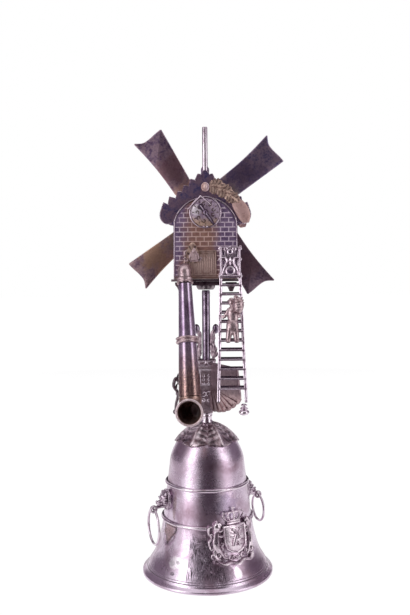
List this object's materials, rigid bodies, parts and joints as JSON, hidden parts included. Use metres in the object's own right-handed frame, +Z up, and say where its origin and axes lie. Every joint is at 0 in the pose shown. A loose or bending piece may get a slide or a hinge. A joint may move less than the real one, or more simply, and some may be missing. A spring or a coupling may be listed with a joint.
{
  "type": "windmill wager cup",
  "caption": "Silver bell-shaped cup standing on its rim, with a post mill on its stem whose sails, dial hand and vane wheel turn as one, a blow pipe, a ladder and loose side rings.",
  "frame": {"origin": "middle of the cup's footprint box, on the surface that it stands on; the middle of the round rim is 7 mm from it towards the sails", "axes": "+Z up the stem; -Y towards the mill's rear with its dial, ladder and blow pipe; +Y towards the sails"},
  "size_m": [0.0838, 0.0799, 0.2279],
  "materials": {
    "arms_crown": "polished silver, lightly tarnished",
    "arms_shield": "polished silver, lightly tarnished",
    "arms_supporters": "polished silver, lightly tarnished",
    "blow_pipe": "cast or chased silver with warm brown tarnish",
    "calyx_leaves": "cast or chased silver with warm brown tarnish",
    "crest_boss": "polished silver, lightly tarnished",
    "cup_bowl": "polished silver, lightly tarnished",
    "dial_hand": "polished silver, lightly tarnished",
    "dial_plate": "cast or chased silver with warm brown tarnish",
    "dial_ring": "polished silver, lightly tarnished",
    "floor_plate": "silver under dark purple-brown tarnish",
    "floor_plinth": "silver under dark purple-brown tarnish",
    "front_crest": "silver under dark purple-brown tarnish",
    "front_shaft_bush": "polished silver, lightly tarnished",
    "front_wall": "cast or chased silver with warm brown tarnish",
    "hub_boss": "polished silver, lightly tarnished",
    "jet_tube": "polished silver, lightly tarnished",
    "ladder": "polished silver, lightly tarnished",
    "ladder_finial": "polished silver, lightly tarnished",
    "ladder_gate": "polished silver, lightly tarnished",
    "left_floor_bracket": "silver under dark purple-brown tarnish",
    "left_lion_mask": "polished silver, lightly tarnished",
    "left_ring": "polished silver, lightly tarnished",
    "left_side_wall": "cast or chased silver with warm brown tarnish",
    "left_volute_arm": "cast or chased silver with warm brown tarnish",
    "lower_band": "polished silver, lightly tarnished",
    "lower_left_sail": "silver under dark purple-brown tarnish",
    "lower_right_sail": "silver under dark purple-brown tarnish",
    "mill_post": "silver under dark purple-brown tarnish",
    "miller": "cast or chased silver with warm brown tarnish",
    "paddle_wheel": "polished silver, lightly tarnished",
    "pipe_collar": "polished silver, lightly tarnished",
    "pipe_elbow": "cast or chased silver with warm brown tarnish",
    "pipe_leaf": "cast or chased silver with warm brown tarnish",
    "pipe_mouth": "cast or chased silver with warm brown tarnish",
    "pipe_ring": "polished silver, lightly tarnished",
    "pole_socket": "polished silver, lightly tarnished",
    "post_corbel": "cast or chased silver with warm brown tarnish",
    "rear_crest": "silver under dark purple-brown tarnish",
    "rear_shaft_bush": "polished silver, lightly tarnished",
    "rear_wall": "cast or chased silver with warm brown tarnish",
    "ridge_pole": "polished silver, lightly tarnished",
    "right_floor_bracket": "silver under dark purple-brown tarnish",
    "right_lion_mask": "polished silver, lightly tarnished",
    "right_ring": "polished silver, lightly tarnished",
    "right_side_wall": "cast or chased silver with warm brown tarnish",
    "right_volute_arm": "cast or chased silver with warm brown tarnish",
    "roof_sheet": "cast or chased silver with warm brown tarnish",
    "sack": "polished silver, lightly tarnished",
    "sail_hub": "polished silver, lightly tarnished",
    "scroll_bracket": "cast or chased silver with warm brown tarnish",
    "shell_bracket": "cast or chased silver with warm brown tarnish",
    "stem_collar": "polished silver, lightly tarnished",
    "stem_pedestal": "cast or chased silver with warm brown tarnish",
    "upper_band": "polished silver, lightly tarnished",
    "upper_left_sail": "silver under dark purple-brown tarnish",
    "upper_right_sail": "silver under dark purple-brown tarnish",
    "windshaft": "polished silver, lightly tarnished"
  },
  "bodies": {
    "cup": {"arms_crown": "arms_crown", "arms_shield": "arms_shield", "arms_supporters": "arms_supporters", "blow_pipe": "blow_pipe", "calyx_leaves": "calyx_leaves", "crest_boss": "crest_boss", "cup_bowl": "cup_bowl", "dial_plate": "dial_plate", "dial_ring": "dial_ring", "floor_plate": "floor_plate", "floor_plinth": "floor_plinth", "front_crest": "front_crest", "front_shaft_bush": "front_shaft_bush", "front_wall": "front_wall", "jet_tube": "jet_tube", "ladder": "ladder", "ladder_finial": "ladder_finial", "ladder_gate": "ladder_gate", "left_floor_bracket": "left_floor_bracket", "left_lion_mask": "left_lion_mask", "left_side_wall": "left_side_wall", "left_volute_arm": "left_volute_arm", "lower_band": "lower_band", "mill_post": "mill_post", "miller": "miller", "pipe_collar": "pipe_collar", "pipe_elbow": "pipe_elbow", "pipe_leaf": "pipe_leaf", "pipe_mouth": "pipe_mouth", "pipe_ring": "pipe_ring", "pole_socket": "pole_socket", "post_corbel": "post_corbel", "rear_crest": "rear_crest", "rear_shaft_bush": "rear_shaft_bush", "rear_wall": "rear_wall", "ridge_pole": "ridge_pole", "right_floor_bracket": "right_floor_bracket", "right_lion_mask": "right_lion_mask", "right_side_wall": "right_side_wall", "right_volute_arm": "right_volute_arm", "roof_sheet": "roof_sheet", "sack": "sack", "scroll_bracket": "scroll_bracket", "shell_bracket": "shell_bracket", "stem_collar": "stem_collar", "stem_pedestal": "stem_pedestal", "upper_band": "upper_band"},
    "rotor": {"windshaft": "windshaft", "sail_hub": "sail_hub", "hub_boss": "hub_boss", "upper_right_sail": "upper_right_sail", "upper_left_sail": "upper_left_sail", "lower_left_sail": "lower_left_sail", "lower_right_sail": "lower_right_sail", "dial_hand": "dial_hand", "paddle_wheel": "paddle_wheel"},
    "left_ring": {"left_ring": "left_ring"},
    "right_ring": {"right_ring": "right_ring"}
  },
  "joints": [
    {"name": "sail_spin", "type": "hinge", "parent": "cup", "child": "rotor", "pos_m": [0, -0.01, 0.1802], "axis": [0, 0.9956, 0.0941], "continuous": true},
    {"name": "left_ring_swing", "type": "hinge", "parent": "cup", "child": "left_ring", "pos_m": [-0.0267, -0.00379, 0.0334], "axis": [-0.3746, 0.9272, 0], "range_deg": [-8, 85]},
    {"name": "right_ring_swing", "type": "hinge", "parent": "cup", "child": "right_ring", "pos_m": [0.0267, 0.01779, 0.0342], "axis": [0.3746, -0.9272, 0], "range_deg": [-8, 85]}
  ]
}
